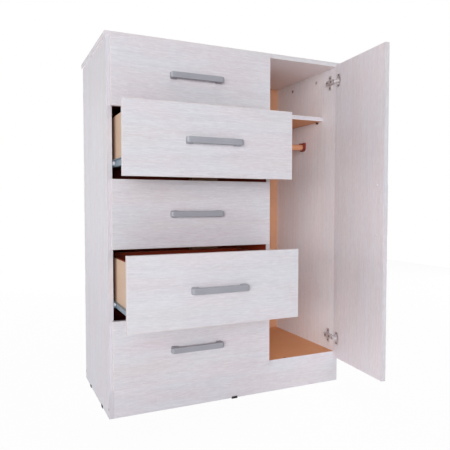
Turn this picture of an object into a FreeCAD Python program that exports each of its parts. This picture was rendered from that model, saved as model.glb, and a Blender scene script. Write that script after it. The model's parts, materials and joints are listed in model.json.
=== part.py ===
"""Chifforobe: five drawers beside a hanging compartment with one hinged door.

Frame: +X to the right, +Y to the back, +Z up, millimetres. The origin lies on the floor under
the middle of the whole thing as it stands here: second and fourth drawer pulled out, door open.
Boards are butt-jointed with cam locks and screws. Drawer fronts and door are half-overlay:
they lap a few millimetres over the edges of the carcass boards.
"""
import FreeCAD, Part
import os
import Sketcher
from FreeCAD import Placement, Rotation, Vector

DRAWERS = 5
TURN = {
    "up": Rotation(),
    "right": Rotation(Vector(0, 1, 0), 90),
    "left": Rotation(Vector(0, 1, 0), -90),
    "back": Rotation(Vector(1, 0, 0), -90),
    "front": Rotation(Vector(1, 0, 0), 90),
    "down": Rotation(Vector(1, 0, 0), 180),
}

doc = FreeCAD.newDocument("chifforobe")


# ---------------------------------------------------------------- driving dimensions

sizes = doc.addObject("Spreadsheet::Sheet", "Sizes")
SIZES = [
    # carcass
    ("cabinet_width", 1000.0),
    ("cabinet_height", 1381.5),
    ("side_depth", 489.0),
    ("board", 18.0),
    ("top_overhang", 6.0),
    ("plinth_height", 112.0),
    ("back_sheet", 3.0),
    ("back_edge", 3.0),
    ("strip_width", 16.0),
    ("strip_lip", 1.0),
    # shoes clipped on the lower edges
    ("shoe_length", 24.0),
    ("shoe_sole", 3.0),
    ("shoe_lip", 1.5),
    ("shoe_lip_height", 6.0),
    ("shoe_front", 129.0),
    ("shoe_rear", 119.0),
    # fronts
    ("front_board", 18.0),
    ("front_edge_round", 1.0),
    ("front_overlap", 6.5),
    ("plinth_overlap", 5.5),
    ("front_gap", 3.0),
    ("shut_gap", 1.0),
    ("drawer_front_width", 637.0),
    ("drawer_2_pull", 165.3),
    ("drawer_4_pull", 212.3),
    # drawer box
    ("drawer_board", 12.0),
    ("drawer_rear_gap", 40.0),
    ("drawer_lift", 42.0),
    ("drawer_top_gap", 30.3),
    ("drawer_sheet", 3.0),
    ("groove_depth", 6.0),
    ("groove_rise", 10.0),
    ("sheet_play", 0.2),
    # roller slides
    ("runner_space", 12.5),
    ("runner_metal", 1.2),
    ("runner_setback", 2.0),
    ("runner_rise", 1.0),
    ("runner_flange", 12.0),
    ("runner_side_gap", 0.8),
    ("runner_headroom", 2.8),
    ("runner_notch", 34.0),
    ("roller_radius", 9.0),
    ("roller_play", 0.3),
    ("roller_inset", 14.0),
    ("roller_pin_radius", 2.5),
    ("roller_bore_play", 0.3),
    # bar handles
    ("handle_length", 214.0),
    ("handle_foot_span", 203.0),
    ("handle_foot_width", 22.5),
    ("handle_height", 26.0),
    ("handle_standoff", 25.0),
    ("handle_bar", 8.0),
    ("handle_flare", 12.0),
    ("handle_bend", 11.0),
    ("handle_gap_span", 136.0),
    ("handle_heel", 8.0),
    ("handle_heel_slope", 2.0),
    ("handle_gap_bend", 8.0),
    ("handle_soften", 2.0),
    ("handle_hole_spacing", 192.0),
    ("handle_screw_radius", 2.0),
    ("handle_screw_grip", 9.0),
    ("handle_screw_head_radius", 4.2),
    ("handle_screw_head", 2.2),
    ("screw_play", 0.25),
    ("door_handle_inset", 42.5),
    ("door_handle_rise", 644.5),
    # shelf and rod
    ("hat_space", 201.0),
    ("shelf_setback", 93.0),
    ("shelf_play", 0.5),
    ("pin_radius", 2.5),
    ("pin_depth", 9.0),
    ("peg_radius", 4.0),
    ("peg_length", 9.0),
    ("pin_inset", 37.0),
    ("rod_radius", 14.0),
    ("rod_drop", 102.5),
    ("rod_play", 0.3),
    ("socket_wall", 4.7),
    ("socket_plate", 3.0),
    ("socket_cup", 11.0),
    ("socket_rise", 21.5),
    # door hinges
    ("door_open_angle", 84.9),
    ("hinge_axis_edge", 3.1),
    ("hinge_axis_depth", 4.9),
    ("hinge_below_top", 80.0),
    ("hinge_above_floor", 63.0),
    ("cup_inset", 22.0),
    ("cup_radius", 17.2),
    ("cup_depth", 11.6),
    ("cup_wall", 0.6),
    ("cup_bore_play", 0.3),
    ("cup_rim", 1.7),
    ("cup_flange", 0.7),
    ("cup_flange_half_width", 12.5),
    ("cup_flange_half_height", 26.5),
    ("cup_screw_offset", 22.0),
    ("plate_front", 8.0),
    ("plate_length", 59.0),
    ("plate_half_width", 9.0),
    ("plate_wing", 37.0),
    ("plate_wing_half_height", 30.5),
    ("plate_thickness", 3.0),
    ("plate_screw_offset", 21.0),
    ("plate_corner", 4.0),
    ("arm_half_width", 8.5),
    ("arm_slot_half_width", 5.6),
    ("arm_tail", 60.0),
    ("arm_height", 11.0),
    ("arm_pin_reach", 3.0),
    ("arm_pin_height", 8.0),
    ("arm_nose_radius", 3.6),
    ("arm_corner", 2.0),
    ("link_half_width", 4.0),
    ("link_length", 20.0),
    ("link_rest_angle", 31.7),
    ("link_radius", 1.1),
    ("link_pin_radius", 2.0),
    ("link_pin_play", 0.1),
    # cam locks and screws
    ("cam_radius", 7.5),
    ("cam_depth", 12.5),
    ("cam_centre", 37.0),
    ("cam_bolt_radius", 3.5),
    ("cam_bolt_bite", 10.0),
    ("cam_inset", 144.5),
    ("bore_play", 0.3),
    ("long_screw_radius", 2.5),
    ("long_screw_length", 50.0),
    ("long_screw_head_radius", 4.5),
    ("long_screw_head", 3.0),
    ("plinth_screw_height", 33.0),
    ("floor_screw_from_middle", 238.0),
    ("small_screw_radius", 1.5),
    ("small_screw_length", 14.0),
    ("small_screw_head_radius", 3.2),
    ("small_screw_head", 0.6),
    ("runner_screw_front", 37.0),
    ("runner_screw_rear", 261.0),
]
for row, (alias, number) in enumerate(SIZES, start=1):
    sizes.set(f"A{row}", str(number))
    sizes.setAlias(f"A{row}", alias)

# Places worked out from the sizes. Names ending in _x, _y or _z are coordinates.
places = doc.addObject("Spreadsheet::Sheet", "Places")
ANGLE = "Sizes.door_open_angle * 1deg"
PLACES = [
    ("outer_x", "Sizes.cabinet_width / 2"),
    ("inner_x", "outer_x - Sizes.board"),
    ("total_depth", "Sizes.side_depth + Sizes.back_sheet"),
    ("front_reveal", "Sizes.board - Sizes.front_overlap"),
    ("door_width", "Sizes.cabinet_width - 2 * front_reveal - Sizes.drawer_front_width - Sizes.front_gap"),
    # how far the open door's free edge stands in front of the carcass
    ("door_swing", "(door_width - Sizes.hinge_axis_edge) * sin(%s)" % ANGLE),
    ("door_thrust", "(Sizes.front_board - Sizes.hinge_axis_depth) * cos(%s)" % ANGLE),
    ("door_round", "Sizes.front_edge_round * (sin(%s) + cos(%s) - 1)" % (ANGLE, ANGLE)),
    ("door_reach", "Sizes.shut_gap + Sizes.hinge_axis_depth + door_swing + door_thrust - door_round"),
    ("front_y", "(door_reach - total_depth - Sizes.strip_lip) / 2"),
    ("back_y", "front_y + Sizes.side_depth"),
    ("base_z", "Sizes.shoe_sole"),
    ("floor_z", "base_z + Sizes.plinth_height + Sizes.board"),
    ("ceiling_z", "base_z + Sizes.cabinet_height - Sizes.board"),
    ("back_low_z", "floor_z - Sizes.board"),
    ("fronts_low_z", "base_z + Sizes.plinth_height - Sizes.plinth_overlap"),
    ("fronts_height", "ceiling_z + Sizes.front_overlap - fronts_low_z"),
    ("front_height", "(fronts_height - %d * Sizes.front_gap) / %d" % (DRAWERS - 1, DRAWERS)),
    ("front_pitch", "front_height + Sizes.front_gap"),
    ("fronts_left_x", "front_reveal - outer_x"),
    ("fronts_y", "front_y - Sizes.shut_gap"),
    ("divider_x", "fronts_left_x + Sizes.drawer_front_width + Sizes.front_gap / 2 - Sizes.board / 2"),
    ("robe_left_x", "divider_x + Sizes.board"),
    ("robe_width", "inner_x - robe_left_x"),
    ("shelf_top_z", "ceiling_z - Sizes.hat_space"),
    ("shelf_z", "shelf_top_z - Sizes.board"),
    ("rod_z", "shelf_z - Sizes.rod_drop"),
    ("rod_y", "front_y + Sizes.side_depth / 2"),
    ("hinge_upper", "base_z + Sizes.cabinet_height - Sizes.hinge_below_top"),
    ("hinge_lower", "floor_z + Sizes.hinge_above_floor"),
    # drawer box, measured from the drawer front's left edge
    ("drawer_depth", "Sizes.side_depth + Sizes.shut_gap - Sizes.drawer_rear_gap"),
    ("drawer_side_height", "front_height - Sizes.drawer_lift - Sizes.drawer_top_gap"),
    ("box_left", "Sizes.runner_space - inner_x - fronts_left_x"),
    ("box_width", "divider_x + inner_x - 2 * Sizes.runner_space"),
    ("box_right", "box_left + box_width"),
    ("sheet_rise", "Sizes.drawer_lift + Sizes.groove_rise"),
    ("sheet_reach", "Sizes.groove_depth - Sizes.sheet_play"),
    ("groove_height", "Sizes.drawer_sheet + 2 * Sizes.sheet_play"),
    # roller slides, measured from the lower corner of the drawer side or of the cabinet member
    ("roller_z", "Sizes.runner_metal + Sizes.roller_play + Sizes.roller_radius"),
    ("runner_lip_z", "Sizes.runner_metal + 2 * Sizes.roller_play + 2 * Sizes.roller_radius"),
    ("runner_web", "Sizes.runner_rise + runner_lip_z + Sizes.runner_metal"),
    ("channel_height", "runner_lip_z + 2 * Sizes.runner_metal + Sizes.runner_headroom"),
    ("lip_reach", "Sizes.runner_space - Sizes.runner_metal - Sizes.runner_side_gap"),
    ("roller_width", "lip_reach - Sizes.runner_metal - Sizes.runner_side_gap"),
    # door, carried by its hinge axis
    ("hinge_x", "outer_x - front_reveal - Sizes.hinge_axis_edge"),
    ("hinge_y", "fronts_y - Sizes.hinge_axis_depth"),
    ("door_x", "hinge_x + Sizes.hinge_axis_edge * cos(%s) - Sizes.hinge_axis_depth * sin(%s)" % (ANGLE, ANGLE)),
    ("door_y", "hinge_y + Sizes.hinge_axis_edge * sin(%s) + Sizes.hinge_axis_depth * cos(%s)" % (ANGLE, ANGLE)),
    ("handle_seat", "Sizes.front_board + Sizes.handle_screw_grip"),
]
place_names = [alias for alias, _ in PLACES]
for row, (alias, formula) in enumerate(PLACES, start=1):
    places.set(f"A{row}", "=" + formula)
    places.setAlias(f"A{row}", alias)
doc.recompute()


# ---------------------------------------------------------------- helpers for modelling


def spell(text):
    """Writes the sheet's name in front of each bare size or place in an expression."""
    words = []
    for word in str(text).split():
        core = word.strip("()-")
        if core in place_names:
            word = word.replace(core, "Places." + core)
        elif any(core == alias for alias, _ in SIZES):
            word = word.replace(core, "Sizes." + core)
        words.append(word)
    return " ".join(words)


def bind(thing, **properties):
    """Binds properties to the sheets; a double underscore stands for a dot."""
    for name, text in properties.items():
        thing.setExpression(name.replace("__", "."), spell(text))


def locate(thing, x="0", y="0", z="0", turn="up"):
    thing.Placement = Placement(Vector(), TURN[turn])
    bind(thing, Placement__Base__x=x, Placement__Base__y=y, Placement__Base__z=z)
    return thing


def board(name, size, at):
    """A plain board: size and lowest corner as three expressions each."""
    box = doc.addObject("Part::Box", name)
    bind(box, Length=size[0], Width=size[1], Height=size[2])
    return locate(box, *at)


def rod(name, radius, length, at, turn="up"):
    """A cylinder that starts at a point and runs the way turn says."""
    cylinder = doc.addObject("Part::Cylinder", name)
    bind(cylinder, Radius=radius, Height=length)
    return locate(cylinder, *at, turn)


def group(name, links):
    compound = doc.addObject("Part::Compound", name)
    compound.Links = links
    return compound


def cut(name, base, tools):
    """The base with the tools taken away; the tools may not overlap each other."""
    result = doc.addObject("Part::Cut", name)
    result.Base = base
    result.Tool = tools[0] if len(tools) == 1 else group(name + "_tools", tools)
    return result


def fuse(name, shapes):
    result = doc.addObject("Part::MultiFuse", name)
    result.Shapes = shapes
    return result


def new_body(name):
    return doc.addObject("PartDesign::Body", name)


def sketch_on(body, name, role):
    """A sketch on one of the body's own origin planes."""
    sketch = body.newObject("Sketcher::SketchObject", name)
    plane = next(item for item in body.Origin.OriginFeatures if item.Role == role)
    sketch.AttachmentSupport = (plane, [""])
    sketch.MapMode = "FlatFace"
    return sketch


def dimension(sketch, kind, where, text):
    """A driving dimension of a sketch, bound to the sheets."""
    sketch.addConstraint(Sketcher.Constraint(kind, *where, sketch.evalExpression(spell(text))))
    sketch.setExpression(f"Constraints[{sketch.ConstraintCount - 1}]", spell(text))


def polygon(sketch, corners):
    """A closed outline; each corner is a pair of expressions, dimensioned from the sketch's origin."""
    points = [Vector(*[sketch.evalExpression(spell(c)) for c in corner], 0) for corner in corners]
    count = len(points)
    first = sketch.GeometryCount
    for i in range(count):
        sketch.addGeometry(Part.LineSegment(points[i], points[(i + 1) % count]), False)
    for i in range(count):
        sketch.addConstraint(Sketcher.Constraint("Coincident", first + i, 2, first + (i + 1) % count, 1))
    for i, (x, y) in enumerate(corners):
        dimension(sketch, "DistanceX", (-1, 1, first + i, 1), x)
        dimension(sketch, "DistanceY", (-1, 1, first + i, 1), y)


def circle(sketch, x, y, radius):
    centre = Vector(*[sketch.evalExpression(spell(c)) for c in (x, y)], 0)
    index = sketch.addGeometry(Part.Circle(centre, Vector(0, 0, 1), sketch.evalExpression(spell(radius))))
    dimension(sketch, "DistanceX", (-1, 1, index, 3), x)
    dimension(sketch, "DistanceY", (-1, 1, index, 3), y)
    dimension(sketch, "Radius", (index,), radius)


def pad(body, sketch, length, reverse=False):
    feature = body.newObject("PartDesign::Pad", sketch.Name + "_pad")
    feature.Profile = sketch
    feature.Reversed = reverse
    bind(feature, Length=length)
    doc.recompute()
    return feature


def pocket(body, sketch, depth):
    """A pocket that must take material away."""
    before = body.Shape.Volume
    feature = body.newObject("PartDesign::Pocket", sketch.Name + "_pocket")
    feature.Profile = sketch
    feature.Reversed = True
    bind(feature, Length=depth)
    doc.recompute()
    if body.Shape.Volume >= before:
        raise RuntimeError(f"{feature.Name} cuts nothing")
    return feature


def soften(body, base, radius, wanted):
    """Rounds the edges of the last feature for which wanted(edge) is true."""
    names = [f"Edge{i}" for i, edge in enumerate(base.Shape.Edges, start=1) if wanted(edge)]
    feature = body.newObject("PartDesign::Fillet", base.Name + "_round")
    feature.Base = (base, names)
    bind(feature, Radius=radius)
    doc.recompute()
    return feature


def runs_along(edge, axis):
    """True for a straight edge parallel to the axis."""
    span = edge.BoundBox
    lengths = {"x": span.XLength, "y": span.YLength, "z": span.ZLength}
    own = lengths.pop(axis)
    return own > 0 and max(lengths.values()) < 1e-6 * own + 1e-6


# ---------------------------------------------------------------- screws and cam locks
# Every screw has a round head and a plain shank; its board has a bore of the same length.


def screw(name, kind, at, turn):
    """A screw whose head stands at a point on the board's face; turn is the way it is driven."""
    head = rod(name + "_head", f"{kind}_head_radius", f"{kind}_head", at, turn)
    shank = rod(name + "_shank", f"{kind}_radius", f"{kind}_length", at, turn)
    return fuse(name, [head, shank])


def screw_bores(name, kind, at, turn, head_too=False):
    """The bore for that screw, with the head's seat where it lies flush."""
    bores = [rod(name + "_bore", f"{kind}_radius + bore_play", f"{kind}_length + bore_play", at, turn)]
    if head_too:
        bores.append(rod(name + "_seat", f"{kind}_head_radius + bore_play", f"{kind}_head", at, turn))
        return [fuse(name + "_bores", bores)]
    return bores


cabinet_screws = []
bores = {name: [] for name in (
    "top_panel", "left_side", "right_side", "divider", "bottom_panel", "plinth_front", "plinth_back")}


def drive(name, kind, at, turn, boards, head_too=False):
    cabinet_screws.append(screw(name, kind, at, turn))
    for piece in boards:
        bores[piece] += screw_bores(f"{name}_{piece}", kind, at, turn, head_too)


# plinth rails, fastened through the side boards and through the bottom board
for end, face, turn in (("left", "-outer_x", "right"), ("right", "outer_x", "left")):
    for rail, y in (("front", "front_y + board / 2"), ("back", "back_y - board / 2")):
        drive(f"{end}_{rail}_screw", "long_screw", (face, y, "base_z + plinth_screw_height"), turn,
              [f"{end}_side", f"plinth_{rail}"], True)
for sign, end in (("-", "left"), ("", "right")):
    for rail, y in (("front", "front_y + board / 2"), ("back", "back_y - board / 2")):
        drive(f"floor_{end}_{rail}_screw", "long_screw", (f"{sign}floor_screw_from_middle", y, "floor_z"),
              "down", ["bottom_panel", f"plinth_{rail}"], True)

# cam locks: a drum in the upright's face and a bolt up or down through its end into the level board
cam_locks = []


def cam_lock(name, upright, level, face_x, middle_x, into, y, upward):
    """face_x: the face that the drum is let into; middle_x: the bolt's line; into: the drum's way."""
    edge_z, turn, sign = ("ceiling_z", "up", "-") if upward else ("floor_z", "down", "+")
    drum_at = (face_x, y, f"{edge_z} {sign} cam_centre")
    bolt_at = (middle_x, y, drum_at[2])
    bolt_length = "cam_centre + cam_bolt_bite"
    drum = rod(name + "_drum", "cam_radius", "cam_depth", drum_at, into)
    bolt = rod(name + "_bolt", "cam_bolt_radius", bolt_length, bolt_at, turn)
    cam_locks.append(fuse(name, [drum, bolt]))
    bores[upright].append(fuse(name + "_bores", [
        rod(name + "_drum_bore", "cam_radius + bore_play", "cam_depth + bore_play", drum_at, into),
        rod(name + "_bolt_bore", "cam_bolt_radius + bore_play", bolt_length, bolt_at, turn)]))
    bores[level].append(rod(name + "_bite", "cam_bolt_radius + bore_play",
                            "cam_bolt_bite + bore_play", (middle_x, y, edge_z), turn))


CAM_DEPTHS = (("front", "front_y + cam_inset"), ("rear", "back_y - cam_inset"))
UPRIGHTS = (
    ("left_side", "-inner_x", "-outer_x + board / 2", "left"),
    ("right_side", "inner_x", "outer_x - board / 2", "right"),
    ("divider", "robe_left_x", "divider_x + board / 2", "left"),
)
for upright, face_x, middle_x, into in UPRIGHTS:
    for depth, y in CAM_DEPTHS:
        cam_lock(f"{upright}_{depth}_cam", upright, "top_panel", face_x, middle_x, into, y, True)
for depth, y in CAM_DEPTHS:
    cam_lock(f"divider_{depth}_foot_cam", "divider", "bottom_panel", "robe_left_x",
             "divider_x + board / 2", "left", y, False)


# ---------------------------------------------------------------- roller slides, cabinet members
# A C-shaped rail on each wall of the drawer bay, with a nylon roller on a pin at its front end.


def channel(name, side):
    """Rail with its back on a wall at x = 0; side is 1 where the drawer lies to its right."""
    body = new_body(name)
    profile = sketch_on(body, name + "_section", "XZ_Plane")
    metal, reach, high = "runner_metal", "lip_reach", "channel_height"
    corners = [("0", "0"), (reach, "0"), (reach, metal), (metal, metal), (metal, f"{high} - {metal}"),
               (reach, f"{high} - {metal}"), (reach, high), ("0", high)]
    if side < 0:
        corners = [(f"-( {x} )", z) for x, z in corners]
    polygon(profile, corners)
    pad(body, profile, "drawer_depth", True)
    notch_x = metal if side > 0 else f"-{reach}"
    notch = board(name + "_notch", (f"{reach} - {metal}", "runner_notch", metal),
                  (notch_x, "0", f"{high} - {metal}"))
    pin = rod(name + "_pin", "roller_pin_radius", "runner_side_gap + roller_width",
              (metal if side > 0 else f"-{metal}", "roller_inset", "roller_z"), "right" if side > 0 else "left")
    holes = [rod(f"{name}_{spot}_hole", "small_screw_radius + bore_play", metal,
                 ("0", spot, "channel_height / 2"), "right" if side > 0 else "left")
             for spot in ("runner_screw_front", "runner_screw_rear")]
    return fuse(name + "_member", [cut(name + "_cut", body, [notch] + holes), pin])


def roller(name, side):
    """Roller on a pin that starts at x = 0; side is the pin's direction along X."""
    turn = "right" if side > 0 else "left"
    start = ("runner_side_gap" if side > 0 else "-runner_side_gap", "0", "0")
    wheel = rod(name + "_wheel", "roller_radius", "roller_width", start, turn)
    bore = rod(name + "_bore", "roller_pin_radius + roller_bore_play", "roller_width", start, turn)
    return cut(name, wheel, [bore])


left_channel, right_channel = channel("left_channel", 1), channel("right_channel", -1)
left_roller, right_roller = roller("left_roller", 1), roller("right_roller", -1)
rails, rail_rollers = [], []
for k in range(DRAWERS):
    rail_z = f"fronts_low_z + {k} * front_pitch + drawer_lift + runner_rise"
    walls = (("left", "-inner_x", left_channel, left_roller, "left_side", "left"),
             ("right", "divider_x", right_channel, right_roller, "divider", "right"))
    for side, wall_x, member, wheel, wall, into in walls:
        rail_y = "front_y + runner_setback"
        inward = "+" if side == "left" else "-"
        rail = group(f"{side}_rail_{k}", [member])
        rails.append(locate(rail, wall_x, rail_y, rail_z))
        wheel_at = (f"{wall_x} {inward} runner_metal", f"{rail_y} + roller_inset", f"{rail_z} + roller_z")
        rail_rollers.append(locate(group(f"{side}_rail_roller_{k}", [wheel]), *wheel_at))
        for spot in ("runner_screw_front", "runner_screw_rear"):
            at = (f"{wall_x} {inward} runner_metal {inward} small_screw_head", f"{rail_y} + {spot}",
                  f"{rail_z} + channel_height / 2")
            drive(f"{side}_{spot}_{k}", "small_screw", at, into, [wall])
cabinet_runners = group("cabinet_runners", rails)
runner_rollers = group("runner_rollers", rail_rollers)


# ---------------------------------------------------------------- hanging compartment fittings

# two oval sockets, open at the top, that the rod drops into
ROD_AT = ("rod_y", "rod_z")


def rod_socket(name, wall_x, side):
    """Socket on a wall at wall_x; side is 1 where the rod lies to its right."""
    ring = "rod_radius + socket_wall"
    turn = "right" if side > 0 else "left"
    depth = "socket_plate + socket_cup"
    mouth_x = f"{wall_x} + socket_plate" if side > 0 else f"{wall_x} - socket_plate - socket_cup"
    shell_x = wall_x if side > 0 else f"{wall_x} - socket_plate - socket_cup"
    shell = fuse(name + "_shell", [
        rod(name + "_round", ring, depth, (wall_x, *ROD_AT), turn),
        board(name + "_cheeks", (depth, f"2 * ( {ring} )", "socket_rise"),
              (shell_x, f"{ROD_AT[0]} - rod_radius - socket_wall", ROD_AT[1]))])
    start = f"{wall_x} {'+' if side > 0 else '-'} socket_plate"
    seat = rod(name + "_seat", "rod_radius + rod_play", "socket_cup", (start, *ROD_AT), turn)
    mouth = board(name + "_mouth", ("socket_cup", "2 * ( rod_radius + rod_play )", "socket_rise"),
                  (mouth_x, f"{ROD_AT[0]} - rod_radius - rod_play", ROD_AT[1]))
    hollow = fuse(name + "_hollow", [seat, mouth])
    holes = []
    for spot, rise in (("low", "- rod_radius / 2"), ("high", "+ rod_radius / 2")):
        at = (wall_x, ROD_AT[0], f"{ROD_AT[1]} {rise}")
        holes.append(rod(f"{name}_{spot}_hole", "small_screw_radius + bore_play", "socket_plate", at, turn))
        head_at = (f"{start} {'+' if side > 0 else '-'} small_screw_head", at[1], at[2])
        drive(f"{name}_{spot}_screw", "small_screw", head_at, "left" if side > 0 else "right",
              ["divider" if side > 0 else "right_side"])
    return cut(name, shell, [hollow] + holes)


rod_sockets = group("rod_sockets", [rod_socket("left_socket", "robe_left_x", 1),
                                    rod_socket("right_socket", "inner_x", -1)])
hanging_rod = rod("hanging_rod", "rod_radius", "robe_width - 2 * socket_plate - 2 * small_screw_head - 2 * rod_play",
                  ("robe_left_x + socket_plate + small_screw_head + rod_play", *ROD_AT), "right")

# the hat shelf lies on four pegged pins
hat_shelf = board("hat_shelf", ("robe_width - 2 * shelf_play", "side_depth - shelf_setback", "board"),
                  ("robe_left_x + shelf_play", "front_y + shelf_setback", "shelf_z"))
pins = []
for wall_x, upright, inward, outward in (("robe_left_x", "divider", "right", "left"),
                                         ("inner_x", "right_side", "left", "right")):
    for spot, y in (("front", "front_y + shelf_setback + pin_inset"), ("rear", "back_y - pin_inset")):
        name = f"{upright}_{spot}_pin"
        at = (wall_x, y, "shelf_z - sheet_play - peg_radius")
        pins.append(fuse(name, [rod(name + "_peg", "peg_radius", "peg_length", at, inward),
                                rod(name + "_root", "pin_radius", "pin_depth", at, outward)]))
        bores[upright].append(rod(name + "_bore", "pin_radius + bore_play", "pin_depth + bore_play", at, outward))
shelf_pins = group("shelf_pins", pins)


# ---------------------------------------------------------------- hinges
# Each hinge: a winged plate on the side board, an arm clipped over it, a folding link on the arm's
# pin, and a cup let into the door. Heights are measured to the middle of the hinge.


def plate_shape():
    """Cross-shaped plate in the YZ plane, its foot at x = 0, thickness towards -X."""
    body = new_body("hinge_plate_body")
    outline = sketch_on(body, "hinge_plate_outline", "YZ_Plane")
    front, rear, half = "plate_front", "plate_front + plate_length", "plate_half_width"
    near, far, wing = f"plate_wing - {half}", f"plate_wing + {half}", "plate_wing_half_height"
    upper = [(front, half), (near, half), (near, wing), (far, wing), (far, half), (rear, half)]
    lower = [(y, f"-{z}") for y, z in reversed(upper)]
    polygon(outline, upper + lower)
    plate = pad(body, outline, "plate_thickness", True)
    soften(body, plate, "plate_corner", lambda edge: runs_along(edge, "x"))
    return body


def arm_shape():
    """Bent arm seen from above: y is the depth into the cabinet, x = 0 the side board's face."""
    body = new_body("hinge_arm_body")
    outline = sketch_on(body, "hinge_arm_outline", "XY_Plane")
    foot, high = "-plate_thickness", "-( plate_thickness + arm_height )"
    nose_high = "-( arm_pin_height + arm_nose_radius )"
    nose_low = "-( arm_pin_height - arm_nose_radius )"
    tip = "-( arm_pin_reach + arm_nose_radius )"
    polygon(outline, [
        (foot, "plate_front + plate_half_width"), (foot, "arm_tail"), (high, "arm_tail - arm_height"),
        (high, "plate_front"), (nose_high, tip), (nose_low, tip), (nose_low, "plate_front / 2")])
    arm = pad(body, outline, "2 * arm_half_width")
    soften(body, arm, "arm_corner", lambda edge: runs_along(edge, "z"))
    return body


PIN_AT = ("-arm_pin_height", "-arm_pin_reach")
hinge_plate_body = plate_shape()
plate_holes = [rod(f"plate_hole_{i}", "small_screw_radius + bore_play", "plate_thickness",
                   ("0", "plate_wing", z), "left")
               for i, z in enumerate(("plate_screw_offset", "-plate_screw_offset"))]
plate_unit = cut("plate_unit", hinge_plate_body, plate_holes)
arm_body = arm_shape()
arm_slot = board("arm_slot", ("2 * arm_height", "plate_front + arm_pin_reach + 2 * arm_nose_radius",
                              "2 * arm_slot_half_width"),
                 ("-2 * arm_height", "-( arm_pin_reach + 2 * arm_nose_radius )",
                  "arm_half_width - arm_slot_half_width"))
arm_pin_bore = rod("arm_pin_bore", "link_pin_radius + link_pin_play", "2 * arm_half_width", (*PIN_AT, "0"))
arm_unit = locate(cut("arm_unit", arm_body, [arm_slot, arm_pin_bore]), "0", "0", "-arm_half_width")

# the link is drawn straight forward from its pin, then turned towards the open door
link_bar = fuse("link_bar", [
    rod("link_near_end", "link_radius", "2 * link_half_width", ("0", "0", "-link_half_width")),
    rod("link_far_end", "link_radius", "2 * link_half_width", ("0", "-link_length", "-link_half_width")),
    board("link_web", ("2 * link_radius", "link_length", "2 * link_half_width"),
          ("-link_radius", "-link_length", "-link_half_width")),
    rod("link_pin", "link_pin_radius", "2 * arm_half_width", ("0", "0", "-arm_half_width"))])
link_turned = locate(group("link_turned", [link_bar]), *PIN_AT, "0")
bind(link_turned, Placement__Rotation__Angle="link_rest_angle * 1deg")

plates, arms, links = [], [], []
for level in ("hinge_upper", "hinge_lower"):
    at = ("inner_x", "front_y", level)
    plates.append(locate(group(level + "_plate", [plate_unit]), *at))
    arms.append(locate(group(level + "_arm", [arm_unit]), *at))
    links.append(locate(group(level + "_link", [link_turned]), *at))
    for i, rise in enumerate(("+ plate_screw_offset", "- plate_screw_offset")):
        drive(f"{level}_screw_{i}", "small_screw",
              ("inner_x - plate_thickness - small_screw_head", "front_y + plate_wing", f"{at[2]} {rise}"),
              "right", ["right_side"])
hinge_plates = group("hinge_plates", plates)
hinge_arms = group("hinge_arms", arms)
hinge_links = group("hinge_links", links)


# ---------------------------------------------------------------- carcass boards


def bored(name, size, at):
    blank = board(name + "_blank", size, at)
    return cut(name, blank, bores[name]) if bores[name] else blank


SIDE = ("board", "side_depth", "cabinet_height - board")
RAIL = ("2 * inner_x", "board", "plinth_height")
top_panel = bored("top_panel", ("cabinet_width + 2 * top_overhang", "total_depth", "board"),
                  ("-( outer_x + top_overhang )", "front_y", "ceiling_z"))
left_side = bored("left_side", SIDE, ("-outer_x", "front_y", "base_z"))
right_side = bored("right_side", SIDE, ("inner_x", "front_y", "base_z"))
divider = bored("divider", ("board", "side_depth", "ceiling_z - floor_z"), ("divider_x", "front_y", "floor_z"))
bottom_panel = bored("bottom_panel", ("2 * inner_x", "side_depth", "board"),
                     ("-inner_x", "front_y", "floor_z - board"))
plinth_front = bored("plinth_front", RAIL, ("-inner_x", "front_y", "base_z"))
plinth_back = bored("plinth_back", RAIL, ("-inner_x", "back_y - board", "base_z"))

# the back is two thin sheets nailed to the rear edges, joined by an H-shaped strip
sheet_size = ("outer_x - back_edge - strip_lip / 2 - sheet_play", "back_sheet",
              "ceiling_z - back_low_z - sheet_play")
back_sheet_left = board("back_sheet_left", sheet_size, ("back_edge - outer_x", "back_y", "back_low_z"))
back_sheet_right = board("back_sheet_right", sheet_size,
                         ("strip_lip / 2 + sheet_play", "back_y", "back_low_z"))


def joint_strip():
    """H-section, its web between the two sheets and its lips over their edges, inside and out."""
    tall, low = "ceiling_z - back_low_z - sheet_play", "back_low_z"
    web = board("strip_web", ("strip_lip", "back_sheet", tall), ("-strip_lip / 2", "back_y", low))
    outside = board("strip_outside", ("strip_width", "strip_lip", tall),
                    ("-strip_width / 2", "back_y + back_sheet", low))
    inside = board("strip_inside", ("strip_width", "strip_lip", "ceiling_z - floor_z - 2 * sheet_play"),
                   ("-strip_width / 2", "back_y - strip_lip", "floor_z + sheet_play"))
    return fuse("back_joint_strip", [web, outside, inside])


back_joint_strip = joint_strip()


# shoes: U-shaped clips pushed on the lower edges of sides and plinth rails
def shoe(name, along_y, x, y):
    """Shoe centred on the board's edge at x, y; along_y where the board runs front to back."""
    outer, inner = "board + 2 * shoe_lip", "board"
    high = "shoe_sole + shoe_lip_height"
    if along_y:
        blank = board(name + "_blank", (outer, "shoe_length", high),
                      (f"{x} - board / 2 - shoe_lip", f"{y} - shoe_length / 2", "0"))
        seat = board(name + "_seat", (inner, "shoe_length", "shoe_lip_height"),
                     (f"{x} - board / 2", f"{y} - shoe_length / 2", "shoe_sole"))
    else:
        blank = board(name + "_blank", ("shoe_length", outer, high),
                      (f"{x} - shoe_length / 2", f"{y} - board / 2 - shoe_lip", "0"))
        seat = board(name + "_seat", ("shoe_length", inner, "shoe_lip_height"),
                     (f"{x} - shoe_length / 2", f"{y} - board / 2", "shoe_sole"))
    return cut(name, blank, [seat])


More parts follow.
